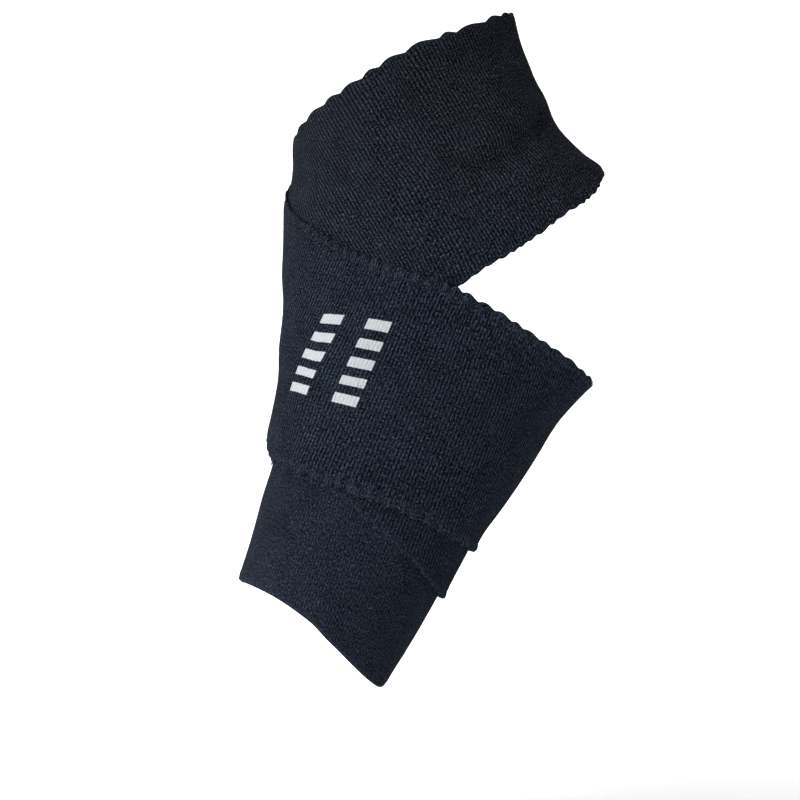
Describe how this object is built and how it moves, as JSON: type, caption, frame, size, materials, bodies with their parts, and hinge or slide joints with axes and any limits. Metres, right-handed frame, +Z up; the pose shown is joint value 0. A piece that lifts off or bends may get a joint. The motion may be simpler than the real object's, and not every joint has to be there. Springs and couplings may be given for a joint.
{
  "type": "figure-eight elastic ankle brace",
  "caption": "Black elastic knit ankle brace: a strap wound in a figure eight over a foot band, leaving the heel open.",
  "frame": {"origin": "inside the ankle, midway across, where the leg passes through the strap's upper loop", "axes": "+X towards the heel, -Y the outer (little toe) side of a left foot, +Z up the leg, in the form the brace has on a foot raised on its toes"},
  "size_m": [0.1131, 0.079, 0.2089],
  "materials": {
    "knit": "fuzzy ribbed elastic knit, matt black with a blue cast",
    "foot_knit": "fine ribbed elastic knit, matt black with a blue cast",
    "hook_tape": "black hook tape, plain"
  },
  "bodies": {
    "root": {"foot_band": "foot_knit", "strap": "knit", "closure_tab": "hook_tape"}
  },
  "joints": []
}
